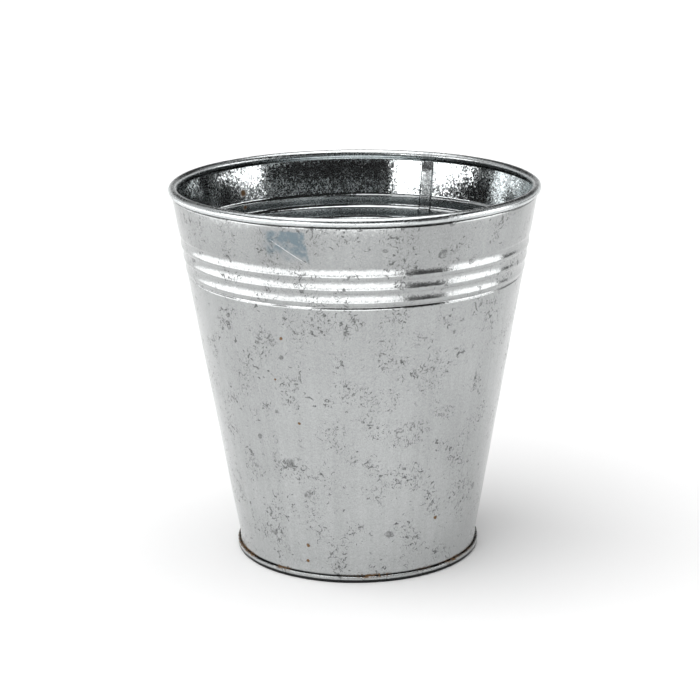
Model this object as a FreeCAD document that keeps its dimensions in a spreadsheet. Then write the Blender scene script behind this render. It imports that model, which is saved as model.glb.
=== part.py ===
"""Florist bucket: a tapered pail of galvanised sheet, in millimetres.

The origin is the centre of the base, on the surface that the bucket stands on, and +Z is up.
The bucket is two pressings of thin sheet. The side wall is one sheet rolled into a cone: its two
edges are locked together down the back, its top is curled round a steel wire, and its foot is
hooked into the rim of the bottom disc in a double seam. Both seams hold a line of sealant.
"""
import FreeCAD, Part
import math
import os

import Sketcher

Vector = FreeCAD.Vector

# Every driving dimension: its name in the sheet, its value, and what it measures.
DIMENSIONS = (
    ("gauge", 0.30, "thickness of the sheet"),
    ("fold_gap", 0.05, "space between two layers of the double seam"),
    ("bucket_height", 174.0, "standing surface to the top of the rim"),
    ("rim_radius", 85.0, "outside of the rolled rim"),
    ("foot_radius", 57.2, "outside of the double seam at the foot"),
    ("foot_height", 3.0, "height of the double seam"),
    ("foot_straight", 6.7, "height at which the wall starts to lean outwards"),
    ("wall_taper", 9.55, "lean of the wall from the vertical, in degrees"),
    ("taper_bend", 8.0, "radius of the bend where the lean starts"),
    ("crease_height", 133.8, "height of the lowest swaged crease"),
    ("crease_depth", 0.33, "depth of a crease below the wall's outer face"),
    ("crease_radius", 0.6, "radius in the bottom of a crease"),
    ("bead_rise", 0.22, "height of a bead's crest above the wall's outer face"),
    ("bead_crest", 3.0, "radius of a bead's crest, above which it runs straight to the next crease"),
    ("bead_pitch", 5.93, "distance from one crease to the next, along the wall"),
    ("edge_radius", 3.0, "radius where the plain wall dips into the first and last crease"),
    ("neck_radius", 1.2, "radius of the neck under the rolled rim"),
    ("wire_diameter", 3.3, "thickness of the wire in the rim"),
    ("wire_clearance", 0.03, "space between the wire and the sheet rolled round it"),
    ("curl_gap", 0.15, "distance from the raw edge of the rolled rim to the wall's face"),
    ("wall_hook", 1.2, "straight part of the wall's hook in the double seam"),
    ("disc_hook", 1.3, "straight part of the bottom disc's hook in the double seam"),
    ("foot_sealant", 0.19, "thickness of the sealant under the wall's hook"),
    ("foot_sealant_width", 0.7, "width of the sealant under the wall's hook"),
    ("panel_height", 5.0, "standing surface to the top of the recessed bottom panel"),
    ("panel_bend", 1.1, "radius of the bend between the panel and its chuck wall"),
    ("ring_start", 36.0, "radius at which the panel's stiffening ring starts"),
    ("ring_turn", 40.0, "slope of the stiffening ring's sides, in degrees"),
    ("ring_bend", 2.0, "radius of the bends at the foot of the stiffening ring"),
    ("ring_crown", 3.0, "radius of the top of the stiffening ring"),
    ("lock_width", 5.0, "width of the lock seam"),
    ("lock_gap", 0.04, "space between two layers of the lock seam"),
    ("lock_slot", 0.15, "open crease beside the lock seam, on the outside"),
    ("lock_bottom", 9.0, "height at which the lock seam's inner layers start"),
    ("lock_top", 168.5, "height at which the lock seam's inner layers end"),
    ("lock_sealant", 0.4, "width of the sealant inside the lock seam"),
    ("lock_azimuth", 63.5, "where the lock seam is, in degrees from +X towards +Y"),
)
BEADS = 3
LOCK_SECTOR = 20  # degrees of a shell that are enough to cut the lock seam's strips from

# Formulas in the sheet's names that several pieces use.
LAYER = "(Size.gauge + Size.fold_gap)"
FOLD = "(Size.gauge / 2 + Size.fold_gap)"
WALL_FACE = f"(Size.foot_radius - 3 * {LAYER})"
CHUCK_FACE = f"({WALL_FACE} - {LAYER})"
HOOK_CENTRE = f"(2 * Size.gauge + Size.foot_sealant + Size.fold_gap + {FOLD})"
LEAN_START = "(Size.foot_straight + Size.taper_bend * tan(Size.wall_taper / 2))"
CURL = "(Size.wire_diameter / 2 + Size.wire_clearance)"
RIM_CENTRE_X = f"(Size.rim_radius - Size.gauge - {CURL})"
RIM_CENTRE_Y = f"(Size.bucket_height - Size.gauge - {CURL})"
LOCK_LAYER = "(Size.gauge + Size.lock_gap)"

UPRIGHT = FreeCAD.Placement(Vector(0, 0, 0), FreeCAD.Rotation(Vector(1, 0, 0), 90))
START, END, CENTRE = 1, 2, 3
ORIGIN = -1

doc = FreeCAD.newDocument("florist_bucket")


def make_sheet():
    """The spreadsheet of driving dimensions: name, value and meaning in three columns."""
    sheet = doc.addObject("Spreadsheet::Sheet", "Size")
    for row, (name, number, meaning) in enumerate(DIMENSIONS, start=1):
        sheet.set(f"A{row}", name)
        sheet.set(f"B{row}", str(number))
        sheet.set(f"C{row}", meaning)
        sheet.setAlias(f"B{row}", name)
    doc.recompute()
    return sheet


SHEET = make_sheet()


def value(formula):
    """A formula's value with the dimensions as they are now."""
    result = SHEET.evalExpression(str(formula))
    return float(getattr(result, "Value", result))


class SheetPath:
    """One face of a folded sheet, in section: lines and arcs that run smoothly into each other.

    X is the radius from the bucket's axis and Y is the height. The path keeps track of where it
    is and where it heads, so every stretch is drawn in its right place before it is constrained.
    """

    def __init__(self, name, x, y, heading):
        self.sketch = doc.addObject("Sketcher::SketchObject", name)
        self.sketch.Placement = UPRIGHT
        self.start = (x, y)
        self.point = Vector(value(x), value(y), 0)
        self.heading = math.radians(heading)
        self.last = None

    def rule(self, kind, *items, size=None):
        """Adds one constraint, bound to a formula where it has a size."""
        if size is None:
            self.sketch.addConstraint(Sketcher.Constraint(kind, *items))
            return
        now = math.radians(value(size)) if kind == "Angle" else value(size)
        index = self.sketch.addConstraint(Sketcher.Constraint(kind, *items, now))
        self.sketch.setExpression(f"Constraints[{index}]", str(size))

    def place(self, stretch, end, x=None, y=None):
        """Fixes one point of a stretch by its radius from the axis, its height, or both."""
        if x is not None:
            self.rule("DistanceX", ORIGIN, START, stretch, end, size=x)
        if y is not None:
            self.rule("DistanceY", ORIGIN, START, stretch, end, size=y)

    def join(self, stretch, near, far):
        """Runs a new stretch smoothly on from the one before it."""
        if self.last is None:
            self.place(stretch, near, *self.start)
        else:
            self.rule("Tangent", *self.last, stretch, near)
        self.last = (stretch, far)

    def line(self, length):
        """A straight stretch."""
        ahead = Vector(math.cos(self.heading), math.sin(self.heading), 0)
        target = self.point + ahead * length
        stretch = self.sketch.addGeometry(Part.LineSegment(self.point, target), False)
        self.join(stretch, START, END)
        self.point = target
        return stretch

    def line_to(self, height):
        """A straight stretch up or down to a height."""
        return self.line((height - self.point.y) / math.sin(self.heading))

    def arc(self, radius, turn):
        """A bend of a given radius, turning left by some degrees, or right where negative."""
        size = value(radius)
        side = math.copysign(1, turn)
        to_left = Vector(-math.sin(self.heading), math.cos(self.heading), 0)
        centre = self.point + to_left * (size * side)
        first = self.heading - side * math.pi / 2
        last = first + math.radians(turn)
        angles = (first, last) if side > 0 else (last, first)
        near, far = (START, END) if side > 0 else (END, START)
        circle = Part.Circle(centre, Vector(0, 0, 1), size)
        stretch = self.sketch.addGeometry(Part.ArcOfCircle(circle, *angles), False)
        self.join(stretch, near, far)
        self.rule("Radius", stretch, size=radius)
        self.point = centre + Vector(math.cos(last), math.sin(last), 0) * size
        self.heading += math.radians(turn)
        return stretch

    def beaded_wall(self, top):
        """The leaning wall up to a height, with its swaged beads. Returns its two plain lines.

        The creases are small arcs centred just outside the wall's face. Each bead swells out of
        the crease below it, turns over its crest and runs straight into the crease above.
        """
        edge_reach = value("Size.edge_radius + Size.crease_radius")
        crest_reach = value("Size.bead_crest + Size.crease_radius")
        edge_turn = math.degrees(math.acos(1 - value("Size.crease_depth") / edge_reach))
        centre_out = value("Size.crease_radius - Size.crease_depth")
        depth = centre_out + value("Size.bead_crest - Size.bead_rise")
        swell = math.acos(depth / crest_reach)
        left_over = value("Size.bead_pitch") - crest_reach * math.sin(swell)
        swell_turn = math.degrees(swell)
        slope_turn = math.degrees(math.asin(crest_reach / math.hypot(left_over, depth))
                                  - math.atan2(depth, left_over))
        slope = math.sqrt(left_over ** 2 + depth ** 2 - crest_reach ** 2)
        dip = edge_reach * math.sin(math.radians(edge_turn))
        lean = math.radians(value("Size.wall_taper"))
        dip_start = value("Size.crease_height") + centre_out * math.sin(lean) - dip * math.cos(lean)

        lower = self.line_to(dip_start)
        self.arc("Size.edge_radius", edge_turn)
        earlier = None
        for number in range(BEADS + 1):
            turn_in = edge_turn if number == 0 else slope_turn
            turn_out = edge_turn if number == BEADS else swell_turn
            crease = self.arc("Size.crease_radius", -turn_in - turn_out)
            self.rule("Distance", crease, CENTRE, lower, size="Size.crease_radius - Size.crease_depth")
            if earlier is None:
                self.place(crease, CENTRE, y="Size.crease_height")
            else:
                self.rule("Distance", earlier, CENTRE, crease, CENTRE, size="Size.bead_pitch")
            if number < BEADS:
                crest = self.arc("Size.bead_crest", swell_turn + slope_turn)
                self.rule("Distance", crest, CENTRE, lower, size="Size.bead_crest - Size.bead_rise")
                self.line(slope)
            earlier = crease
        self.arc("Size.edge_radius", edge_turn)
        upper = self.line_to(top)
        self.rule("Tangent", lower, upper)
        return lower, upper


def thicken(name, path, thickness):
    """The section of a sheet: the face between a path and its offset to one side."""
    section = doc.addObject("Part::Offset2D", name + "_section")
    section.Source = path
    section.Mode = "Skin"
    section.Fill = True
    section.setExpression("Value", thickness)
    return section


def turn_round(name, section, degrees=360):
    """A solid turned round the bucket's axis, half of its angle to each side of the section."""
    solid = doc.addObject("Part::Revolution", name)
    solid.Source = section
    solid.Axis = Vector(0, 0, 1)
    solid.Base = Vector(0, 0, 0)
    solid.Angle = degrees
    solid.Symmetric = degrees < 360
    solid.Solid = True
    return solid


def slab(name, low, high):
    """A box over the lock seam's length, from one sideways distance to another."""
    box = doc.addObject("Part::Box", name)
    box.setExpression("Length", "Size.rim_radius")
    box.setExpression("Width", f"({high}) - ({low})")
    box.setExpression("Height", "Size.lock_top - Size.lock_bottom")
    box.setExpression("Placement.Base.y", low)
    box.setExpression("Placement.Base.z", "Size.lock_bottom")
    return box


def combine(kind, name, pieces):
    """A Part boolean of several shapes."""
    result = doc.addObject(kind, name)
    if kind == "Part::MultiFuse":
        result.Shapes = pieces
    else:
        result.Base, result.Tool = pieces
    return result


def wall_path():
    """The side wall's outer face, from its hook in the double seam up to its rolled rim."""
    path = SheetPath("wall_path", f"{WALL_FACE} + 2 * {FOLD}", f"{HOOK_CENTRE} + Size.wall_hook", -90)
    hook = path.line_to(value(HOOK_CENTRE))
    path.rule("Vertical", hook)
    u_turn = path.arc(FOLD, -180)
    path.place(u_turn, CENTRE, y=HOOK_CENTRE)
    foot = path.line_to(value("Size.foot_straight"))
    path.rule("Vertical", foot)
    path.place(foot, END, y="Size.foot_straight")
    path.arc("Size.taper_bend", -value("Size.wall_taper"))

    # The wire's centre, measured from the wall's face: how far inside it, and the climb from
    # the neck's start up to it.
    lean = math.radians(value("Size.wall_taper"))
    neck = value("Size.neck_radius")
    curl = value(CURL)
    across = value(RIM_CENTRE_X) - value(WALL_FACE)
    above = value(RIM_CENTRE_Y) - value(LEAN_START)
    inside = above * math.sin(lean) - across * math.cos(lean)
    climb = math.sqrt((neck + curl) ** 2 - (inside - neck) ** 2)
    along = above * math.cos(lean) + across * math.sin(lean) - climb
    neck_height = value(LEAN_START) + along * math.cos(lean)
    neck_turn = 90 + math.degrees(math.atan2(inside - neck, climb))
    raw_edge = math.degrees(math.asin((inside + value("Size.curl_gap")) / curl))

    lower, upper = path.beaded_wall(neck_height)
    path.rule("Angle", lower, size="90 - Size.wall_taper")
    path.arc("Size.neck_radius", neck_turn)
    rim = path.arc(CURL, -(270 + neck_turn - raw_edge))
    path.place(rim, CENTRE, x=RIM_CENTRE_X, y=RIM_CENTRE_Y)
    path.rule("Distance", rim, START, lower, size="Size.curl_gap")
    return path.sketch


def band_path():
    """The side wall's outer face over the height of the lock seam only."""
    lean_x = f"{WALL_FACE} + (Size.lock_bottom - {LEAN_START}) * tan(Size.wall_taper)"
    path = SheetPath("band_path", lean_x, "Size.lock_bottom", 90 - value("Size.wall_taper"))
    lower, upper = path.beaded_wall(value("Size.lock_top"))
    path.rule("Angle", lower, size="90 - Size.wall_taper")
    path.place(upper, END, y="Size.lock_top")
    return path.sketch


def lock_strip(name, band, depth, thickness, low, high):
    """One layer or fold of the lock seam: part of a shell below the wall's face, cut to a strip."""
    inner = doc.addObject("Part::Offset2D", name + "_face")
    inner.Source = band
    inner.Mode = "Skin"
    inner.setExpression("Value", depth)
    section = thicken(name, inner, thickness)
    shell = turn_round(name + "_shell", section, degrees=LOCK_SECTOR)
    return combine("Part::Common", name, [shell, slab(name + "_slab", low, high)])


def make_side_wall(band):
    """The rolled sheet: wall, beads, rolled rim, foot hook and the lock seam's folded layers.

    Edge A ends in a hook that wraps round edge B's hook. From the outside in, the layers are
    A, B's hook, A's hook and B, which steps back out to the wall beside the seam.
    """
    shell = turn_round("wall_shell", thicken("wall", wall_path(), "Size.gauge"))
    half = "Size.lock_width / 2"
    crease_slab = slab("crease_slab", half, f"{half} + Size.lock_slot")
    crease = combine("Part::Cut", "wall_creased", [shell, crease_slab])
    middle = "Size.gauge / 2"
    fold_thickness = f"2 * {LOCK_LAYER}"
    strips = (
        ("b_hook", LOCK_LAYER, "Size.gauge", f"-{half} + {middle}", f"{half} - 2 * Size.gauge"),
        ("a_hook", f"2 * {LOCK_LAYER}", "Size.gauge",
         f"-{half} + Size.gauge + Size.lock_sealant", f"{half} - {middle}"),
        ("b_layer", f"3 * {LOCK_LAYER}", "Size.gauge",
         f"-{half} + {middle}", f"{half} + Size.lock_slot + {middle}"),
        ("a_fold", middle, fold_thickness, f"{half} - Size.gauge", half),
        ("b_fold", f"{LOCK_LAYER} + {middle}", fold_thickness, f"-{half}", f"-{half} + Size.gauge"),
        ("b_step", middle, f"3 * {LOCK_LAYER}",
         f"{half} + Size.lock_slot", f"{half} + Size.lock_slot + Size.gauge"),
    )
    layers = [lock_strip(name, band, *sizes) for name, *sizes in strips]
    wall = combine("Part::MultiFuse", "side_wall", [crease] + layers)
    wall.Label = "side_wall"
    return wall


def make_side_seam_seal(band):
    """The line of sealant in the lock seam, between A's raw edge and B's fold."""
    half = "Size.lock_width / 2"
    clearance = "Size.lock_gap"
    seal = lock_strip("side_seam_seal", band, f"2 * {LOCK_LAYER}", "Size.gauge",
                      f"-{half} + Size.gauge + {clearance}",
                      f"-{half} + Size.gauge + Size.lock_sealant - {clearance}")
    seal.Label = "side_seam_seal"
    return seal


def make_bottom_disc():
    """The pressed bottom: recessed panel with a stiffening ring, chuck wall and seam hook."""
    path = SheetPath("disc_path", "0", "Size.panel_height", 0)
    centre = path.line(value("Size.ring_start"))
    path.rule("Horizontal", centre)
    path.place(centre, END, x="Size.ring_start")
    slope = value("Size.ring_turn")
    path.arc("Size.ring_bend", slope)
    crown = path.arc("Size.ring_crown", -2 * slope)
    path.arc("Size.ring_bend", slope)
    land = path.line(value(CHUCK_FACE) - value("Size.panel_bend") - path.point.x)
    path.rule("Tangent", centre, land)
    path.rule("DistanceX", centre, END, crown, CENTRE,
              size="(Size.ring_bend + Size.ring_crown) * sin(Size.ring_turn)")
    path.arc("Size.panel_bend", -90)
    chuck = path.line_to(value(f"Size.gauge + {FOLD}"))
    path.rule("Vertical", chuck)
    path.place(chuck, END, x=CHUCK_FACE)
    path.arc(FOLD, 90)
    sole = path.line(value(f"Size.foot_radius - Size.gauge - {CHUCK_FACE} - 2 * {FOLD}"))
    path.rule("Horizontal", sole)
    path.place(sole, START, y="Size.gauge")
    path.arc(FOLD, 90)
    seam_top = f"Size.foot_height - Size.gauge - {FOLD}"
    seam_wall = path.line_to(value(seam_top))
    path.rule("Vertical", seam_wall)
    path.place(seam_wall, END, x="Size.foot_radius - Size.gauge", y=seam_top)
    path.arc(FOLD, 180)
    hook = path.line(value("Size.disc_hook"))
    path.rule("Vertical", hook)
    path.rule("Distance", hook, size="Size.disc_hook")
    disc = turn_round("bottom_disc", thicken("disc", path.sketch, "-Size.gauge"))
    disc.Label = "bottom_disc"
    return disc


def make_rim_wire():
    """The steel wire that the top edge of the wall is rolled round."""
    wire = doc.addObject("Part::Torus", "rim_wire")
    wire.setExpression("Radius1", RIM_CENTRE_X)
    wire.setExpression("Radius2", "Size.wire_diameter / 2")
    wire.setExpression("Placement.Base.z", RIM_CENTRE_Y)
    wire.Label = "rim_wire"
    return wire


def origin_plane(body, role):
    """One of a body's own origin planes, by its role."""
    return next(plane for plane in body.Origin.OriginFeatures if plane.Role == role)


def make_bottom_seam_seal():
    """The ring of sealant in the double seam, between the wall's hook and the disc's sole."""
    body = doc.addObject("PartDesign::Body", "bottom_seam_seal")
    sketch = body.newObject("Sketcher::SketchObject", "sealant_section")
    sketch.AttachmentSupport = (origin_plane(body, "XZ_Plane"), [""])
    sketch.MapMode = "FlatFace"
    left = value(f"{WALL_FACE} + {FOLD} - Size.foot_sealant_width / 2")
    right = left + value("Size.foot_sealant_width")
    low = value("Size.gauge + Size.fold_gap / 2")
    high = low + value("Size.foot_sealant")
    corners = [Vector(left, low, 0), Vector(right, low, 0), Vector(right, high, 0), Vector(left, high, 0)]
    for side in range(4):
        sketch.addGeometry(Part.LineSegment(corners[side], corners[(side + 1) % 4]), False)
    for side in range(4):
        sketch.addConstraint(Sketcher.Constraint("Coincident", side, END, (side + 1) % 4, START))
        sketch.addConstraint(Sketcher.Constraint("Vertical" if side % 2 else "Horizontal", side))
    sizes = (
        ("DistanceX", (0, START, 0, END), "Size.foot_sealant_width"),
        ("DistanceY", (1, START, 1, END), "Size.foot_sealant"),
        ("DistanceX", (ORIGIN, START, 0, START), f"{WALL_FACE} + {FOLD} - Size.foot_sealant_width / 2"),
        ("DistanceY", (ORIGIN, START, 0, START), "Size.gauge + Size.fold_gap / 2"),
    )
    for kind, points, size in sizes:
        index = sketch.addConstraint(Sketcher.Constraint(kind, *points, value(size)))
        sketch.setExpression(f"Constraints[{index}]", size)
    ring = body.newObject("PartDesign::Revolution", "sealant_ring")
    ring.Profile = sketch
    ring.ReferenceAxis = (sketch, ["V_Axis"])
    ring.Angle = 360
    body.Label = "bottom_seam_seal"
    return body


def check_document():
    """Stops if any object of the document failed to build."""
    for thing in doc.Objects:
        if "Invalid" in thing.State or "Error" in thing.State:
            raise RuntimeError(f"{thing.Name} is {thing.State}")


def export(parts):
    """Checks every piece and writes it to a file of its own."""
    os.makedirs("parts", exist_ok=True)
    for part in parts:
        if part.Shape.isNull() or not part.Shape.isValid() or not part.Shape.Solids:
            raise RuntimeError(f"{part.Label} has no valid solid")
        part.Shape.exportStep(f"parts/{part.Label}.step")
        print(f"{part.Label}: {len(part.Shape.Solids)} solid, {part.Shape.Volume:.0f} mm3")


band = band_path()
wall = make_side_wall(band)
side_seal = make_side_seam_seal(band)
disc = make_bottom_disc()
wire = make_rim_wire()
bottom_seal = make_bottom_seam_seal()
for piece in (wall, side_seal):
    piece.setExpression("Placement.Rotation.Angle", "Size.lock_azimuth")
    piece.Placement.Rotation.Axis = Vector(0, 0, 1)

doc.recompute()
check_document()
export((wall, disc, wire, bottom_seal, side_seal))
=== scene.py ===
import math
from collections import namedtuple

import bmesh
import bpy
import numpy as np
from mathutils import Matrix, Vector, noise


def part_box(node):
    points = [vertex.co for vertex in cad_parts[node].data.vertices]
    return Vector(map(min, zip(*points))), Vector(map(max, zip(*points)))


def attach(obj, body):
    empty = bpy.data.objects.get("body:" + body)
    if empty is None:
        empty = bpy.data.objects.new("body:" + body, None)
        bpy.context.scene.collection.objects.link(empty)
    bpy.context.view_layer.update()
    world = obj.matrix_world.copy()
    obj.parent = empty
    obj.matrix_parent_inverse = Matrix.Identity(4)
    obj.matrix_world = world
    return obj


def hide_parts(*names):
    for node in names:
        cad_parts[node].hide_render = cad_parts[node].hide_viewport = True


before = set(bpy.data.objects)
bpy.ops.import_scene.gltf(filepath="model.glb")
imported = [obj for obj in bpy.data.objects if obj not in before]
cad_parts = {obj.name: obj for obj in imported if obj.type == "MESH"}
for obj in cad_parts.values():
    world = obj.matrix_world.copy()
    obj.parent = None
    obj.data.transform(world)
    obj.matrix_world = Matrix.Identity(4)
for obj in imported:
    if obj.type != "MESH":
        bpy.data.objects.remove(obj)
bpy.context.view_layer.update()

# ---------------------------------------------------------------------------------------------
# Sizes. Everything is in metres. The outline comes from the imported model; the sheet-metal
# details below are the ones that the design was drawn with.
# ---------------------------------------------------------------------------------------------
MM = 0.001
WALL_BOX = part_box("side_wall")
DISC_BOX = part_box("bottom_disc")
WIRE_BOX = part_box("rim_wire")
RIM_TOP = WALL_BOX[1].z
WIRE_RADIUS = (WIRE_BOX[1].z - WIRE_BOX[0].z) / 2
FOOT_RADIUS = DISC_BOX[1].x

GAUGE = 0.30 * MM
FOLD_GAP = 0.05 * MM
FOLD = GAUGE / 2 + FOLD_GAP
WIRE_CLEARANCE = 0.03 * MM
CURL = WIRE_RADIUS + WIRE_CLEARANCE
CURL_GAP = 0.15 * MM
RIM_CENTRE = Vector((WIRE_BOX[1].x - WIRE_RADIUS, (WIRE_BOX[1].z + WIRE_BOX[0].z) / 2))
NECK = 1.2 * MM

# The double seam at the foot
FOOT_HEIGHT = 3 * MM
FOOT_SEALANT = 0.19 * MM
WALL_HOOK = 1.2 * MM
DISC_HOOK = 1.3 * MM
WALL_FACE = FOOT_RADIUS - 3 * (GAUGE + FOLD_GAP)
CHUCK_FACE = WALL_FACE - GAUGE - FOLD_GAP
HOOK_CENTRE = 2 * GAUGE + FOOT_SEALANT + FOLD_GAP + FOLD

# The wall's lean and its beads. The beads' upper slopes are slightly hollow.
FOOT_STRAIGHT = 6.7 * MM
TAPER = math.radians(9.55)
TAPER_BEND = 8 * MM
MEAN_RADIUS = 70 * MM
CREASE_HEIGHT = 133.8 * MM
CREASE_DEPTH = 0.33 * MM
CREASE_RADIUS = 0.6 * MM
BEADS = 3
BEAD_RISE = 0.22 * MM
BEAD_CREST = 3 * MM
BEAD_PITCH = 5.93 * MM
BEAD_HOLLOW = 16 * MM
EDGE_RADIUS = 3 * MM

# The bottom's panel and its stiffening ring
PANEL_HEIGHT = 5 * MM
PANEL_BEND = 1.1 * MM
PANEL_MIDDLE = 0.4 * MM
RING_START = 36 * MM
RING_TURN = math.radians(40)
RING_BEND = 2 * MM
RING_CROWN = 3 * MM

LOCK_AZIMUTH = math.radians(63.5)
LOCK_WIDTH = 5 * MM
LOCK_BOTTOM = 9 * MM
LOCK_TOP = 168.5 * MM
LOCK_DEPTH = 3 * (GAUGE + 0.04 * MM)
LOCK_CREASE = 0.26 * MM

# How far the sheets stray from the drawn shape
ROLLING_MARKS = 0.07 * MM
DENTS = 0.10 * MM
OVAL_MOUTH = 0.12 * MM
RIM_WAVE = 0.18 * MM
PANEL_WAVE = 0.12 * MM
HOOK_AJAR = 0.16 * MM
SEAM_FOLLOWS = 0.6

# How closely the meshes follow the shape
PLAIN_STEP = 3.5 * MM
ROUND_COLUMNS = 196


# ---------------------------------------------------------------------------------------------
# The sheet in section
# ---------------------------------------------------------------------------------------------
class SheetPath:
    """One face of the folded sheet in section, as points with the direction of its other face.

    x is the radius from the bucket's axis and y is the height.
    """

    def __init__(self, x, y, heading):
        self.point = Vector((x, y))
        self.heading = heading
        self.travel = 0.0
        self.rows = []
        self.keep()

    def keep(self):
        """Add the present point to the rows."""
        left = Vector((-math.sin(self.heading), math.cos(self.heading)))
        self.rows.append((self.point.copy(), left, self.travel))

    def line(self, length, step=PLAIN_STEP):
        count = max(1, round(length / step))
        ahead = Vector((math.cos(self.heading), math.sin(self.heading)))
        for _ in range(count):
            self.point = self.point + ahead * (length / count)
            self.travel += length / count
            self.keep()

    def line_to(self, height, step=PLAIN_STEP):
        self.line((height - self.point.y) / math.sin(self.heading), step)

    def arc(self, radius, turn, count):
        """An arc of a number of short lines. A positive turn goes to the left."""
        side = math.copysign(1, turn)
        centre = self.point + Vector((-math.sin(self.heading), math.cos(self.heading))) * radius * side
        for _ in range(count):
            self.heading += turn / count
            self.point = centre + Vector((math.sin(self.heading), -math.cos(self.heading))) * radius * side
            self.travel += abs(turn) / count * radius
            self.keep()


def bead_turns():
    """The turns into a bead's crest, from the wall's lean to its slope, and along the slope.

    The crest's arc touches the crease's below it, and the slope's hollow arc touches the crest's
    and the next crease's.
    """
    reach = BEAD_CREST + CREASE_RADIUS
    depth = reach - CREASE_DEPTH - BEAD_RISE
    swell_turn = math.acos(depth / reach)
    left_over = BEAD_PITCH - reach * math.sin(swell_turn)
    apart = math.hypot(left_over, depth)
    to_crest = BEAD_HOLLOW + BEAD_CREST
    to_crease = BEAD_HOLLOW - CREASE_RADIUS
    crest_corner = math.acos((apart ** 2 + to_crest ** 2 - to_crease ** 2) / (2 * apart * to_crest))
    crease_corner = math.acos((apart ** 2 + to_crease ** 2 - to_crest ** 2) / (2 * apart * to_crease))
    slope_turn = math.pi / 2 - crest_corner - math.atan2(depth, left_over)
    return swell_turn, slope_turn, math.pi - crest_corner - crease_corner


def wall_path():
    """The side wall's outer face: hook, foot, beads, neck and rolled rim, as the design has it."""
    path = SheetPath(WALL_FACE + 2 * FOLD, HOOK_CENTRE + WALL_HOOK, -math.pi / 2)
    path.line_to(HOOK_CENTRE, 0.6 * MM)
    path.arc(FOLD, -math.pi, 6)
    path.line_to(FOOT_STRAIGHT, 0.8 * MM)
    path.arc(TAPER_BEND, -TAPER, 5)

    swell_turn, slope_turn, hollow_turn = bead_turns()
    edge_turn = math.acos(1 - CREASE_DEPTH / (EDGE_RADIUS + CREASE_RADIUS))
    dip = (EDGE_RADIUS + CREASE_RADIUS) * math.sin(edge_turn)
    dip_start = (CREASE_HEIGHT + (CREASE_RADIUS - CREASE_DEPTH) * math.sin(TAPER)
                 - dip * math.cos(TAPER))
    path.line_to(dip_start)
    path.arc(EDGE_RADIUS, edge_turn, 6)
    for number in range(BEADS + 1):
        turn_in = edge_turn if number == 0 else slope_turn - hollow_turn
        turn_out = edge_turn if number == BEADS else swell_turn
        path.arc(CREASE_RADIUS, -turn_in - turn_out, 8)
        if number < BEADS:
            path.arc(BEAD_CREST, swell_turn + slope_turn, 10)
            path.arc(BEAD_HOLLOW, -hollow_turn, 6)
    path.arc(EDGE_RADIUS, edge_turn, 6)

    lean_start = FOOT_STRAIGHT + TAPER_BEND * math.tan(TAPER / 2)
    across = RIM_CENTRE.x - WALL_FACE
    above = RIM_CENTRE.y - lean_start
    inside = above * math.sin(TAPER) - across * math.cos(TAPER)
    climb = math.sqrt((NECK + CURL) ** 2 - (inside - NECK) ** 2)
    along = above * math.cos(TAPER) + across * math.sin(TAPER) - climb
    neck_turn = math.pi / 2 + math.atan2(inside - NECK, climb)
    raw_edge = math.asin((inside + CURL_GAP) / CURL)
    path.line_to(lean_start + along * math.cos(TAPER))
    path.arc(NECK, neck_turn, 10)
    path.arc(CURL, -(1.5 * math.pi + neck_turn - raw_edge), 44)
    return path.rows


def disc_path():
    """The bottom disc's upper face, from the centre of the panel out to its hook."""
    path = SheetPath(PANEL_MIDDLE, PANEL_HEIGHT, 0)
    path.line(RING_START - PANEL_MIDDLE, 3 * MM)
    path.arc(RING_BEND, RING_TURN, 6)
    path.arc(RING_CROWN, -2 * RING_TURN, 10)
    path.arc(RING_BEND, RING_TURN, 6)
    path.line(CHUCK_FACE - PANEL_BEND - path.point.x, 2 * MM)
    path.arc(PANEL_BEND, -math.pi / 2, 8)
    path.line_to(GAUGE + FOLD, 1.2 * MM)
    path.arc(FOLD, math.pi / 2, 4)
    path.line(FOOT_RADIUS - GAUGE - CHUCK_FACE - 2 * FOLD, 0.3 * MM)
    path.arc(FOLD, math.pi / 2, 5)
    path.line_to(FOOT_HEIGHT - GAUGE - FOLD, 0.35 * MM)
    path.arc(FOLD, math.pi, 10)
    path.line(DISC_HOOK, 0.4 * MM)
    return path.rows


# ---------------------------------------------------------------------------------------------
# Small unevenness of a hand-fed sheet-metal part
# ---------------------------------------------------------------------------------------------
def round_noise(azimuth, height, around, up, seed):
    """Smooth noise on the bucket's round surface, seamless round it, from -1 to 1."""
    return noise.noise(Vector((math.cos(azimuth) * around + seed, math.sin(azimuth) * around - seed,
                               height * up + 7.3 * seed)))


def wall_wander(azimuth, height):
    """How far the wall strays outwards: rolling marks, shallow dents and a slightly oval mouth."""
    above_foot = min(1.0, max(0.0, (height - 4 * MM) / (20 * MM)))
    near_beads = math.exp(-((height - 143 * MM) / (16 * MM)) ** 2)
    free = above_foot * (1 - 0.75 * near_beads)
    rolling = round_noise(azimuth, height, around=9.0, up=6.0, seed=1.7) * ROLLING_MARKS
    dents = round_noise(azimuth, height, around=2.6, up=32.0, seed=5.1) * DENTS
    oval = math.cos(2 * azimuth + 0.6) * OVAL_MOUTH * height / RIM_TOP
    return free * (rolling + dents) + oval


def foot_wander(azimuth):
    """The double seam's own unevenness, a long wave and a short one: (outwards, upwards)."""
    out_long = round_noise(azimuth, 0, around=7.0, up=0, seed=3.3) * 0.10
    out_short = round_noise(azimuth, 0, around=24.0, up=0, seed=9.1) * 0.05
    lift_long = round_noise(azimuth, 0, around=5.0, up=0, seed=12.7) * 0.16
    lift_short = round_noise(azimuth, 0, around=19.0, up=0, seed=4.9) * 0.07
    return (out_long + out_short) * MM, (lift_long + lift_short) * MM


def smooth(edge0, edge1, x):
    """A soft step from 0 at edge0 to 1 at edge1."""
    x = min(1.0, max(0.0, (x - edge0) / (edge1 - edge0)))
    return x * x * (3 - 2 * x)


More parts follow.
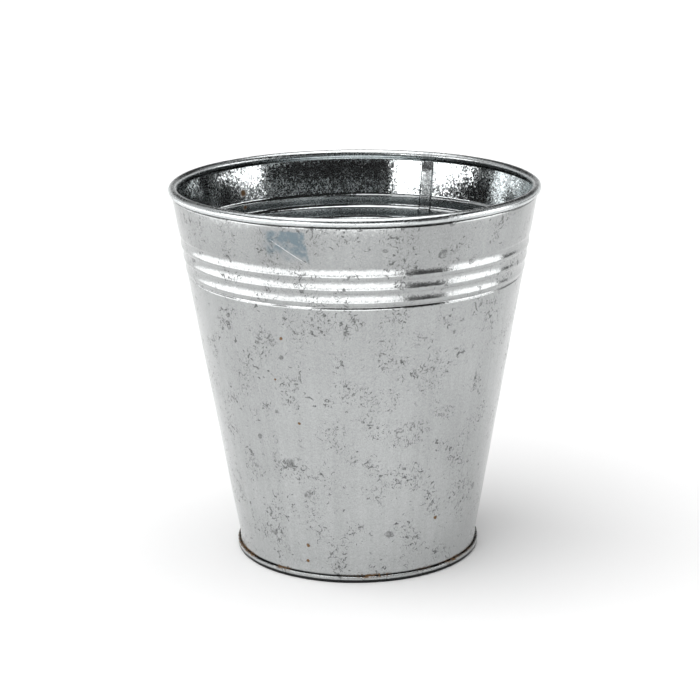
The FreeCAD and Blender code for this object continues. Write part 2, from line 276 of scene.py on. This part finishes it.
# ---------------------------------------------------------------------------------------------
# Turning a section into a closed mesh
# ---------------------------------------------------------------------------------------------
def lock_columns():
    """Sideways distances from the lock seam's middle that its folds need a column of points at."""
    half = LOCK_WIDTH / 2
    left_fold = np.linspace(-half - 0.45 * MM, -half + 0.45 * MM, 10)
    flat = np.linspace(-half + 1 * MM, half - 1 * MM, 5)
    right_fold = np.linspace(half - 0.5 * MM, half + 1.4 * MM, 22)
    return np.concatenate((left_fold, flat, right_fold))


SIDEWAYS = lock_columns()

# A row of points round the axis: its place in section, the way out of the sheet there, how far
# along the sheet it is, and the face it is on.
Row = namedtuple("Row", "x z out_x out_z travel side")


def azimuths(radius):
    """Where the columns of points stand at a radius: packed at the lock seam, even elsewhere."""
    near = SIDEWAYS / max(radius, 1 * MM)
    start, end = near[-1], near[0] + 2 * math.pi
    rest = np.linspace(start, end, ROUND_COLUMNS + 2)[1:-1]
    return LOCK_AZIMUTH + np.concatenate((near, rest))


def lock_profile(sideways, height):
    """The lock seam's shape: (how far the inner face is raised, how far the outer one is sunk)."""
    if abs(sideways) > LOCK_WIDTH:
        return 0.0, 0.0
    half = LOCK_WIDTH / 2
    starts = smooth(LOCK_BOTTOM, LOCK_BOTTOM + 1.2 * MM, height)
    ends = smooth(LOCK_TOP, LOCK_TOP - 1.2 * MM, height)
    rise = smooth(-half - 0.12 * MM, -half + 0.12 * MM, sideways)
    fall = 1 - smooth(half + 0.3 * MM, half + 1.2 * MM, sideways)
    crease = math.exp(-((sideways - half - 0.1 * MM) / (0.17 * MM)) ** 2)
    above_foot = smooth(3.5 * MM, 5 * MM, height)
    below_rim = smooth(RIM_TOP - 3.2 * MM, RIM_TOP - 5.5 * MM, height)
    return LOCK_DEPTH * rise * fall * starts * ends, crease * LOCK_CREASE * above_foot * below_rim


def turned_mesh(name, rows, wander, closed_centre):
    """A mesh of a sheet turned round the axis.

    Its "sheet" attribute says where each point lies on the flat sheet: across, along and face.
    """
    columns = len(SIDEWAYS) + ROUND_COLUMNS
    points = []
    sheet = []
    for row in rows:
        angles = azimuths(row.x)
        for column in range(columns):
            angle = angles[column]
            sideways = SIDEWAYS[column] if column < len(SIDEWAYS) else math.inf
            radius, height = wander(row, angle, sideways)
            points.append((radius * math.cos(angle), radius * math.sin(angle), height))
            sheet.append(((angle - LOCK_AZIMUTH) * MEAN_RADIUS, row.travel, row.side))

    # The rows form a loop. A sheet that reaches the axis is closed there by a small face on each side.
    faces = []
    count = len(rows)
    for number in range(count - 1 if closed_centre else count):
        after = (number + 1) % count
        for column in range(columns):
            beside = (column + 1) % columns
            faces.append((number * columns + column, number * columns + beside,
                          after * columns + beside, after * columns + column))
    if closed_centre:
        faces.append(tuple(reversed(range(columns))))
        faces.append(tuple((count - 1) * columns + column for column in range(columns)))
    mesh = bpy.data.meshes.new(name)
    mesh.from_pydata(points, [], faces)
    layer = mesh.attributes.new("sheet", "FLOAT_VECTOR", "POINT")
    layer.data.foreach_set("vector", np.array(sheet, np.float32).ravel())
    work = bmesh.new()
    work.from_mesh(mesh)
    bmesh.ops.recalc_face_normals(work, faces=work.faces)
    work.to_mesh(mesh)
    work.free()
    mesh.shade_smooth()
    piece = bpy.data.objects.new(name, mesh)
    bpy.context.scene.collection.objects.link(piece)
    return piece


def both_faces(path, gauge):
    """The two faces of a sheet as one loop of rows: along its path, and back along the other."""
    near = [Row(p.x, p.y, -n.x, -n.y, travel, 0.0) for p, n, travel in path]
    far = [Row(p.x + n.x * gauge, p.y + n.y * gauge, n.x, n.y, travel, 1.0) for p, n, travel in path]
    return near + far[::-1]


def make_side_wall():
    """The rolled sheet, with the lock seam's raised band inside and its crease outside."""

    def wander(row, angle, sideways):
        raised, sunk = lock_profile(sideways, row.z)
        above_seam = smooth(3.4 * MM, 6 * MM, row.z)
        move = (raised if row.side else -sunk) * above_seam
        at_rim = smooth(RIM_TOP - 7 * MM, RIM_TOP - 4 * MM, row.z)
        lift = at_rim * round_noise(angle, 0, around=2.4, up=0, seed=8.8) * RIM_WAVE
        seam_out, _ = foot_wander(angle)
        at_foot = 1 - smooth(3 * MM, 9 * MM, row.z)
        stray = wall_wander(angle, row.z) + seam_out * at_foot * SEAM_FOLLOWS
        return row.x + row.out_x * move + stray, row.z + row.out_z * move + lift

    return turned_mesh("side_wall_sheet", both_faces(wall_path(), GAUGE), wander, False)


def make_bottom_disc():
    """The pressed bottom; its hook stands a little off the wall."""

    def wander(row, angle, _):
        out, lift = foot_wander(angle)
        seam = smooth(CHUCK_FACE - 2 * MM, CHUCK_FACE, row.x)
        outer_layers = smooth(CHUCK_FACE + 0.2 * MM, CHUCK_FACE + 0.6 * MM, row.x)
        hook = smooth(0.9 * MM, FOOT_HEIGHT, row.z) * outer_layers
        swell = round_noise(angle, row.x * 10, around=2.0, up=4.0, seed=6.2) * PANEL_WAVE * (1 - seam)
        ajar = hook * (HOOK_AJAR + max(0.0, out) * 1.2)
        return row.x + out * seam * SEAM_FOLLOWS + ajar, row.z + lift * hook + swell

    return turned_mesh("bottom_disc_pressing", both_faces(disc_path(), -GAUGE), wander, True)


# ---------------------------------------------------------------------------------------------
# Materials
# ---------------------------------------------------------------------------------------------
class Nodes:
    """A short way to write a node tree. A value may be a number, a vector or another node's output."""

    def __init__(self, tree):
        self.tree = tree

    def new(self, kind):
        return self.tree.nodes.new(kind)

    def put(self, socket, value):
        if isinstance(value, bpy.types.NodeSocket):
            self.tree.links.new(value, socket)
        else:
            socket.default_value = value

    def math(self, operation, a, b=0.0, clamp=False):
        node = self.new("ShaderNodeMath")
        node.operation = operation
        node.use_clamp = clamp
        self.put(node.inputs[0], a)
        self.put(node.inputs[1], b)
        return node.outputs[0]

    def total(self, first, *others):
        for other in others:
            first = self.math("ADD", first, other)
        return first

    def product(self, first, *others):
        for other in others:
            first = self.math("MULTIPLY", first, other)
        return first

    def opposite(self, value):
        return self.math("SUBTRACT", 1.0, value)

    def swing(self, pattern, depth):
        """A pattern of 0 to 1 as a swing to both sides of nothing, as deep as depth in all."""
        return self.product(self.math("SUBTRACT", pattern, 0.5), depth)

    def ramp(self, value, low, high, to_low=0.0, to_high=1.0):
        """A soft step from to_low at low to to_high at high."""
        node = self.new("ShaderNodeMapRange")
        node.interpolation_type = "SMOOTHSTEP"
        self.put(node.inputs["Value"], value)
        self.put(node.inputs["From Min"], low)
        self.put(node.inputs["From Max"], high)
        self.put(node.inputs["To Min"], to_low)
        self.put(node.inputs["To Max"], to_high)
        return node.outputs["Result"]

    def split(self, vector):
        node = self.new("ShaderNodeSeparateXYZ")
        self.put(node.inputs[0], vector)
        return node.outputs


class MaterialNodes(Nodes):
    """The node tree of a new material, with its shader and the place on the object.

    A Mix node's number sockets are inputs 2 and 3, and its colour sockets inputs 6 and 7.
    """

    def __init__(self, name):
        self.material = bpy.data.materials.new(name)
        self.material.use_nodes = True
        super().__init__(self.material.node_tree)
        self.shader = self.tree.nodes["Principled BSDF"]
        self.place = self.new("ShaderNodeTexCoord").outputs["Object"]

    def shade(self, socket, value):
        self.put(self.shader.inputs[socket], value)

    def mix(self, factor, a, b):
        """A colour between a and b."""
        node = self.new("ShaderNodeMix")
        node.data_type = "RGBA"
        self.put(node.inputs["Factor"], factor)
        self.put(node.inputs[6], a)
        self.put(node.inputs[7], b)
        return node.outputs[2]

    def blend(self, factor, a, b):
        """A number between a and b."""
        node = self.new("ShaderNodeMix")
        self.put(node.inputs["Factor"], factor)
        self.put(node.inputs[2], a)
        self.put(node.inputs[3], b)
        return node.outputs[0]

    def vector_math(self, operation, a, b=(0, 0, 0)):
        node = self.new("ShaderNodeVectorMath")
        node.operation = operation
        self.put(node.inputs[0], a)
        self.put(node.inputs[1], b)
        return node.outputs["Vector"]

    def scaled(self, vector, scale):
        node = self.new("ShaderNodeVectorMath")
        node.operation = "SCALE"
        self.put(node.inputs[0], vector)
        self.put(node.inputs["Scale"], scale)
        return node.outputs["Vector"]

    def measure(self, operation, a, b):
        """A number measured between two vectors."""
        node = self.new("ShaderNodeVectorMath")
        node.operation = operation
        self.put(node.inputs[0], a)
        self.put(node.inputs[1], b)
        return node.outputs["Value"]

    def vector(self, x, y, z):
        node = self.new("ShaderNodeCombineXYZ")
        for socket, value in zip(node.inputs, (x, y, z)):
            self.put(socket, value)
        return node.outputs[0]

    def noise(self, vector, scale, detail=2.0, roughness=0.5, distortion=0.0):
        node = self.new("ShaderNodeTexNoise")
        self.put(node.inputs["Vector"], vector)
        self.put(node.inputs["Scale"], scale)
        self.put(node.inputs["Detail"], detail)
        self.put(node.inputs["Roughness"], roughness)
        self.put(node.inputs["Distortion"], distortion)
        return node.outputs["Fac"]

    def noise_vector(self, vector, scale):
        """Noise as a vector, centred on nothing."""
        node = self.new("ShaderNodeTexNoise")
        self.put(node.inputs["Vector"], vector)
        self.put(node.inputs["Scale"], scale)
        return self.vector_math("SUBTRACT", node.outputs["Color"], (0.5, 0.5, 0.5))

    def cells(self, vector, scale):
        node = self.new("ShaderNodeTexVoronoi")
        self.put(node.inputs["Vector"], vector)
        self.put(node.inputs["Scale"], scale)
        return node.outputs

    def bump(self, height, distance, strength, normal=None):
        node = self.new("ShaderNodeBump")
        self.put(node.inputs["Strength"], strength)
        self.put(node.inputs["Distance"], distance)
        self.put(node.inputs["Height"], height)
        if normal is not None:
            self.put(node.inputs["Normal"], normal)
        return node.outputs[0]


class ZincNodes(MaterialNodes):
    """A material of zinc-coated sheet: where a point lies on the sheet, and the patterns all share."""

    def __init__(self, name, is_wall):
        super().__init__(name)
        sheet = self.new("ShaderNodeAttribute")
        sheet.attribute_name = "sheet"
        self.across, self.along, far_face = self.split(sheet.outputs["Vector"])
        self.height = self.split(self.place)[2]
        self.inside = far_face if is_wall else self.opposite(far_face)
        self.outside = self.opposite(self.inside)
        self.broad = self.noise(self.place, 22, detail=3.0, roughness=0.55)
        self.grain = self.noise(self.place, 1500, roughness=0.65)
        self.crystals = self.cells(self.place, 1500)["Color"]

    def wall_place(self, azimuth, height):
        """Distances sideways and up from a place on the wall. The opposite wall counts as far off."""
        angle = math.radians(azimuth)
        sideways = self.measure("DOT_PRODUCT", self.place, (-math.sin(angle), math.cos(angle), 0))
        outwards = self.measure("DOT_PRODUCT", self.place, (math.cos(angle), math.sin(angle), 0))
        opposite_wall = self.ramp(outwards, -1 * MM, 1 * MM, 1.0, 0.0)
        return self.total(sideways, opposite_wall), self.math("SUBTRACT", self.height, height)


DULL_ZINC = (0.405, 0.415, 0.415, 1)
BRIGHT_ZINC = (0.60, 0.625, 0.63, 1)
# the lock seam's worn zinc, darkened further as a painted dark reflection
WORN_SEAM_AND_DARK_REFLECTION = (0.20, 0.21, 0.212, 1)
DARK_BLUISH_PATCH = (0.175, 0.222, 0.25, 1)
SCRATCH = (0.80, 0.81, 0.82, 1)
RUST = (0.24, 0.13, 0.045, 1)
RUST_DARK = (0.050, 0.024, 0.012, 1)

# The dark bluish patch's place on the wall: azimuth in degrees and height.
PATCH_AZIMUTH = -111
PATCH_HEIGHT = 162.5 * MM

# The rust specks and stains: azimuth in degrees, height and size in mm, and whether it's inside.
RUST_SPECKS = (
    (-116, 118, 1.6, False),
    (-120, 98, 1.1, False),
    (-112, 78, 1.2, False),
    (-113, 17, 1.8, False),
    (-114, 9, 1.4, False),
    (-54, 28, 1.9, False),
    (10, 88, 0.9, False),
    (38, 120, 1.4, False),
    (170, 40, 1.2, False),
    (132, 157, 3.4, True),
    (132, 150, 2.4, True),
    (75, 35, 1.3, True),
)


def zinc_flecks(n):
    """Small torn marks in loose clusters, short strokes and a few round blotches, from 0 to 1."""
    crowd = n.ramp(n.noise(n.place, 75), 0.44, 0.62)
    torn = n.noise(n.place, 350, detail=5.0, roughness=0.62, distortion=1.4)
    marks = n.ramp(torn, n.blend(crowd, 0.632, 0.562), n.blend(crowd, 0.675, 0.605))

    drawn_out = n.vector_math("MULTIPLY", n.place, (1.0, 1.0, 0.55))
    strokes = n.noise(drawn_out, 520, detail=3.0, roughness=0.6, distortion=2.6)
    strokes = n.product(n.ramp(strokes, 0.585, 0.625), crowd, 0.8)

    wavy = n.vector_math("ADD", n.place, n.scaled(n.noise_vector(n.place, 260), 3 * MM))
    blobs = n.cells(wavy, 70)
    chance = n.split(blobs["Color"])
    size = n.blend(chance[1], 0.03, 0.17)
    blotches = n.ramp(blobs["Distance"], n.product(size, 0.8), size, 1.0, 0.0)
    blotches = n.product(blotches, n.ramp(chance[0], 0.30, 0.31), n.ramp(torn, 0.36, 0.52), 0.75)

    flecks = n.math("MAXIMUM", n.math("MAXIMUM", marks, blotches), strokes)
    return n.product(flecks, n.ramp(n.noise(n.place, 1300), 0.38, 0.56, 0.55, 1.0))


def zinc_tone(n, flecks):
    """How bright the zinc is: rolling streaks, broad dulling, grain, crystals and flecks."""
    streak_place = n.vector(n.product(n.across, 260), n.product(n.along, 9), 0)
    streaks = n.noise(streak_place, 1.0, detail=3.0)
    tone = 1.0
    patterns = ((streaks, 0.22), (n.broad, 0.30), (n.grain, 0.50), (n.split(n.crystals)[0], 0.10))
    for pattern, depth in patterns:
        tone = n.total(tone, n.swing(pattern, depth))
    # painted light: the zinc is made brighter towards the bottom
    painted_lower_light = n.ramp(n.height, 0, 95 * MM, 1.16, 1.0)
    darkening = n.product(flecks, n.blend(n.inside, 0.68, 0.22))
    # painted shade: the outer face is darkened on the band above the beads
    painted_band_shade = n.product(n.ramp(n.height, 146 * MM, 154 * MM, 0.0, 0.09), n.outside)
    return n.product(tone, painted_lower_light, n.opposite(darkening), n.opposite(painted_band_shade))


def painted_sole_shadow(n):
    """Painted shadow: darkening of the foot's lowest edge next to the floor, ragged along its top."""
    ragged = n.swing(n.noise(n.place, 260, detail=3.0), 0.15 * MM)
    return n.ramp(n.total(n.height, ragged), 1.25 * MM, 1.75 * MM, 0.06, 1.0)


def crevice_rust(n):
    """Broken lines of rust where the wall enters the double seam."""
    above_hook = n.ramp(n.height, 2.3 * MM, 2.7 * MM)
    crevice = n.product(above_hook, n.ramp(n.height, 3.4 * MM, 4.4 * MM, 1.0, 0.0))
    stretches = n.ramp(n.noise(n.place, 38, detail=3.0, roughness=0.6), 0.45, 0.57)
    crumbs = n.ramp(n.noise(n.place, 900, detail=3.0), 0.44, 0.54)
    return n.product(crevice, stretches, crumbs, n.outside)


def rust_specks(n):
    """Small rust specks at their places on the wall."""
    specks = 0.0
    ragged = n.swing(n.noise(n.place, 900), 1.2 * MM)
    for azimuth, height, size, is_inside in RUST_SPECKS:
        height *= MM
        radius = WALL_FACE + (height - FOOT_STRAIGHT) * math.tan(TAPER)
        angle = math.radians(azimuth)
        centre = (radius * math.cos(angle), radius * math.sin(angle), height)
        near = n.total(n.measure("DISTANCE", n.place, centre), ragged)
        speck = n.ramp(near, size * 0.35 * MM, size * 0.65 * MM, 1.0, 0.0)
        specks = n.math("MAXIMUM", specks, n.product(speck, n.inside if is_inside else n.outside))
    return specks


def dark_bluish_patch(n, zinc):
    """A dark bluish patch under the rim, mottled, with ragged edges."""
    sideways, up = n.wall_place(PATCH_AZIMUTH, PATCH_HEIGHT)
    ragged = n.swing(n.noise(n.place, 260, detail=3.0), 3 * MM)
    wild = n.swing(n.noise(n.place, 130, detail=3.0), 16 * MM)
    left = n.ramp(n.total(sideways, wild), -14 * MM, -4 * MM)
    leaning = n.total(sideways, n.product(up, 0.12), n.product(ragged, 0.5))
    right = n.ramp(leaning, 8.2 * MM, 9.4 * MM, 1.0, 0.0)
    low = n.ramp(n.total(up, wild), -9 * MM, -3 * MM)
    high = n.ramp(n.total(up, ragged), 4.4 * MM, 5.6 * MM, 1.0, 0.0)
    mottled = n.ramp(n.noise(n.place, 300, detail=4.0, roughness=0.65), 0.40, 0.58, 0.30, 1.0)
    return n.mix(n.product(left, right, low, high, mottled, n.outside), zinc, DARK_BLUISH_PATCH)


def scratch(n, zinc):
    """A fine bright scratch that runs down across the dark bluish patch."""
    sideways, up = n.wall_place(PATCH_AZIMUTH, PATCH_HEIGHT)
    ragged = n.swing(n.noise(n.place, 260, detail=3.0), 0.3 * MM)
    off_line = n.total(n.product(sideways, 0.527), n.product(up, 0.85), 3.2 * MM, ragged)
    line = n.ramp(n.math("ABSOLUTE", off_line), 0.05 * MM, 0.24 * MM, 1.0, 0.0)
    wide = n.ramp(n.math("ABSOLUTE", sideways), 6 * MM, 8 * MM, 1.0, 0.0)
    tall = n.ramp(n.math("ABSOLUTE", up), 8 * MM, 9 * MM, 1.0, 0.0)
    broken = n.ramp(n.noise(n.place, 700), 0.40, 0.52, 0.15, 0.9)
    return n.mix(n.product(line, wide, tall, broken, n.outside), zinc, SCRATCH)


def lock_band(n):
    """1 on the lock seam's raised band inside the wall, 0 elsewhere."""
    return n.product(n.ramp(n.math("ABSOLUTE", n.across), 2.0 * MM, 2.3 * MM, 1.0, 0.0), n.inside)


def wall_marks_and_painted_shade(n, zinc):
    """What only the wall has: painted shade in the gap just above the foot, the worn lock seam darkened
    further as a painted dark reflection, the patch and its scratch.
    """
    # painted shade: the colour goes nearly black in the gap between the wall and the foot's seam
    zinc = n.scaled(zinc, n.ramp(n.height, 3.2 * MM, 4.0 * MM, 0.05, 1.0))
    seam_wear_and_reflection = n.ramp(n.noise(n.place, 520, detail=3.0, roughness=0.6, distortion=1.0), 0.40, 0.62, 0.55, 0.10)
    # worn lock seam, darkened further in colour as a painted dark reflection
    zinc = n.mix(n.product(lock_band(n), seam_wear_and_reflection), zinc, WORN_SEAM_AND_DARK_REFLECTION)
    return scratch(n, dark_bluish_patch(n, zinc))


def zinc_normal(n, flecks, rust):
    """Each crystal leans its own way a little, which breaks up the reflections, under a fine relief."""
    lean = n.vector_math("SUBTRACT", n.crystals, (0.5, 0.5, 0.5))
    lean = n.scaled(lean, n.blend(n.inside, 0.05, 0.06))
    normal = n.vector_math("ADD", n.new("ShaderNodeNewGeometry").outputs["Normal"], lean)
    relief = n.math("SUBTRACT", n.product(n.grain, 0.5), n.product(flecks, 0.3))
    relief = n.total(relief, n.product(rust, 0.8))
    return n.bump(relief, 0.02 * MM, 0.5, n.vector_math("NORMALIZE", normal))


def galvanised(name, outer_rough, inner_rough, is_wall):
    """Zinc-coated sheet with soft streaks, grey flecks, fine crystals and a few specks of rust.

    The face that was outside the rolls is dull; the other is bright, with crystals that show.
    """
    n = ZincNodes(name, is_wall)
    flecks = zinc_flecks(n)
    rust = crevice_rust(n)
    zinc = n.scaled(n.mix(n.inside, DULL_ZINC, BRIGHT_ZINC), zinc_tone(n, flecks))
    # painted shadow along the foot's lowest edge
    zinc = n.scaled(zinc, painted_sole_shadow(n))
    rough = n.blend(n.inside, outer_rough, inner_rough)
    if is_wall:
        zinc = wall_marks_and_painted_shade(n, zinc)
        rust = n.math("MAXIMUM", rust, rust_specks(n))
        dull_rim = n.ramp(n.height, RIM_TOP - 4 * MM, RIM_TOP - 3 * MM, 0.0, 0.16)
        rough = n.total(rough, n.product(lock_band(n), 0.10), dull_rim)

    brown = n.mix(n.noise(n.place, 1400), RUST_DARK, RUST)
    fleck_rough = n.product(flecks, n.blend(n.inside, 0.10, 0.17))
    rough = n.total(rough, n.swing(n.broad, 0.08), fleck_rough)
    n.shade("Base Color", n.mix(rust, zinc, brown))
    n.shade("Metallic", n.opposite(rust))
    n.shade("Roughness", n.math("ADD", rough, n.product(rust, 0.5), clamp=True))
    n.shade("Normal", zinc_normal(n, flecks, rust))
    return n.material


def drawn_steel():
    """The wire inside the rim: bare steel with drawing lines."""
    n = MaterialNodes("drawn_steel")
    lines = n.noise(n.place, 900, detail=3.0, roughness=0.6)
    patches = n.noise(n.place, 60, detail=3.0)
    n.shade("Base Color", n.mix(patches, (0.23, 0.22, 0.21, 1), (0.34, 0.33, 0.32, 1)))
    n.shade("Metallic", 1.0)
    n.shade("Roughness", n.ramp(lines, 0.3, 0.7, 0.3, 0.5))
    n.shade("Normal", n.bump(lines, 0.02 * MM, 0.4))
    return n.material


def sealing_compound():
    """The cured compound in the seams: matt, slightly lumpy."""
    n = MaterialNodes("sealing_compound")
    lumps = n.noise(n.place, 1300, detail=3.0)
    n.shade("Base Color", n.mix(lumps, (0.07, 0.065, 0.06, 1), (0.13, 0.12, 0.11, 1)))
    n.shade("Roughness", n.ramp(lumps, 0.3, 0.7, 0.55, 0.8))
    n.shade("Normal", n.bump(lumps, 0.05 * MM, 0.5))
    return n.material


def pale_floor():
    """Matt white paper."""
    n = MaterialNodes("pale_floor")
    tone = n.noise(n.place, 3.0, detail=3.0)
    n.shade("Base Color", n.mix(tone, (0.90, 0.90, 0.90, 1), (0.93, 0.93, 0.93, 1)))
    n.shade("Roughness", 0.7)
    return n.material


# ---------------------------------------------------------------------------------------------
# The object
# ---------------------------------------------------------------------------------------------
wall = make_side_wall()
wall_zinc = galvanised("galvanised_wall", outer_rough=0.17, inner_rough=0.10, is_wall=True)
wall.data.materials.append(wall_zinc)
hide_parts("side_wall")
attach(wall, "root")

disc = make_bottom_disc()
disc_zinc = galvanised("galvanised_bottom", outer_rough=0.24, inner_rough=0.18, is_wall=False)
disc.data.materials.append(disc_zinc)
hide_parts("bottom_disc")
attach(disc, "root")

compound = sealing_compound()
for node, material in (("rim_wire", drawn_steel()), ("bottom_seam_seal", compound),
                       ("side_seam_seal", compound)):
    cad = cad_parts[node]
    cad.data.materials.clear()
    cad.data.materials.append(material)

# ---------------------------------------------------------------------------------------------
# Stage, light and camera
# ---------------------------------------------------------------------------------------------
# The floor is a sheet of paper that widens away from the camera.
FLOOR_LEFT = 0.35
FLOOR_RIGHT = 0.42
FLOOR_FRONT = 0.42
FLOOR_BACK = 5.0
FLOOR_BACK_SIDE = 2.2
FLOOR_CORNERS = (
    (-FLOOR_LEFT, -FLOOR_FRONT, 0),
    (FLOOR_RIGHT, -FLOOR_FRONT, 0),
    (FLOOR_BACK_SIDE, FLOOR_BACK, 0),
    (-FLOOR_BACK_SIDE, FLOOR_BACK, 0),
)
paper = bpy.data.meshes.new("floor")
paper.from_pydata(FLOOR_CORNERS, [], [(0, 1, 2, 3)])
floor = bpy.data.objects.new("floor", paper)
bpy.context.scene.collection.objects.link(floor)
floor.data.materials.append(pale_floor())

# Each light: left, right, low and high edge in degrees, then its strength and softness.
LIGHTS = (
    # overhead, with the key from the left
    (-400, 400, 57, 100, 2.6, 5.0),
    (-120, 0, 40, 56, 1.2, 5.0),
    # pale walls to both sides, above the windows
    (-135, -90, 14, 40, 0.5, 6.0),
    (96, 135, 14, 40, 0.4, 6.0),
    # level with the bucket: windows to both sides of a dark space behind the camera
    (-86, -55, -2, 15, 4.0, 1.2),
    (-46, -27, -2, 15, 4.0, 1.2),
    (65, 102, -2, 15, 3.2, 1.2),
    (-180, -92, -4, 12, 0.85, 3.0),
    (100, 180, -4, 12, 0.85, 3.0),
    # the far table, beyond the floor's edge
    (-140, 31, -60, -6, 2.9, 4.0),
    (31, 62, -60, -8, 0.12, 2.0),
    (62, 110, -60, -6, 2.9, 4.0),
)
# Soft light that the floor gets and polished metal doesn't mirror.
FILL = (-130, 0, 28, 60, 1.5, 6.0)
DARK_ROOM = 0.02


def light_patch(n, around, above, lamp):
    """A soft-edged patch of light on the surroundings."""
    left, right, low, high, strength, soft = lamp
    for angle, edge in ((around, left), (above, low)):
        strength = n.product(n.ramp(angle, edge - soft, edge + soft), strength)
    for angle, edge in ((around, right), (above, high)):
        strength = n.product(n.ramp(angle, edge - soft, edge + soft, 1.0, 0.0), strength)
    return strength


def studio_world():
    """Soft studio surroundings: broad lights and dark gaps between them, seen as plain white."""
    world = bpy.data.worlds.new("studio")
    bpy.context.scene.world = world
    world.use_nodes = True
    n = Nodes(world.node_tree)
    x, y, z = n.split(n.new("ShaderNodeTexCoord").outputs["Generated"])
    path = n.new("ShaderNodeLightPath").outputs

    # Degrees round from the camera's side towards the right, and degrees above the horizon.
    around = n.product(n.math("ARCTAN2", x, n.product(y, -1)), 180 / math.pi)
    above = n.product(n.math("ARCSINE", z), 180 / math.pi)

    light = n.total(DARK_ROOM, *(light_patch(n, around, above, lamp) for lamp in LIGHTS))
    fill = light_patch(n, around, above, FILL)
    light = n.total(light, n.product(fill, n.opposite(path["Is Glossy Ray"])))
    seen = path["Is Camera Ray"]
    light = n.total(n.product(light, n.opposite(seen)), seen)
    background = world.node_tree.nodes["Background"]
    n.put(background.inputs["Strength"], light)
    n.put(background.inputs["Color"], (1, 1, 1, 1))


studio_world()
bpy.context.scene.view_settings.view_transform = "Standard"

# The photograph's camera: its place and aim against the bucket's axis and standing surface.
CAMERA_LENS = 102.86
CAMERA_PITCH = math.radians(15.64)
CAMERA_ROLL = math.radians(-0.59)
CAMERA_AIM = Vector((-2.86, 0, 93.8)) * MM
CAMERA_DISTANCE = 936.3 * MM


def photo_camera():
    """A camera that looks along +Y, pitched down and rolled a little."""
    data = bpy.data.cameras.new("camera")
    data.sensor_width = 36
    data.lens = CAMERA_LENS
    camera = bpy.data.objects.new("camera", data)
    bpy.context.scene.collection.objects.link(camera)
    back = Vector((0, -math.cos(CAMERA_PITCH), math.sin(CAMERA_PITCH)))
    turned = (-back).to_track_quat("-Z", "Y").to_matrix() @ Matrix.Rotation(CAMERA_ROLL, 3, "Z")
    camera.matrix_world = Matrix.Translation(CAMERA_AIM + back * CAMERA_DISTANCE) @ turned.to_4x4()
    return camera


bpy.context.scene.camera = photo_camera()
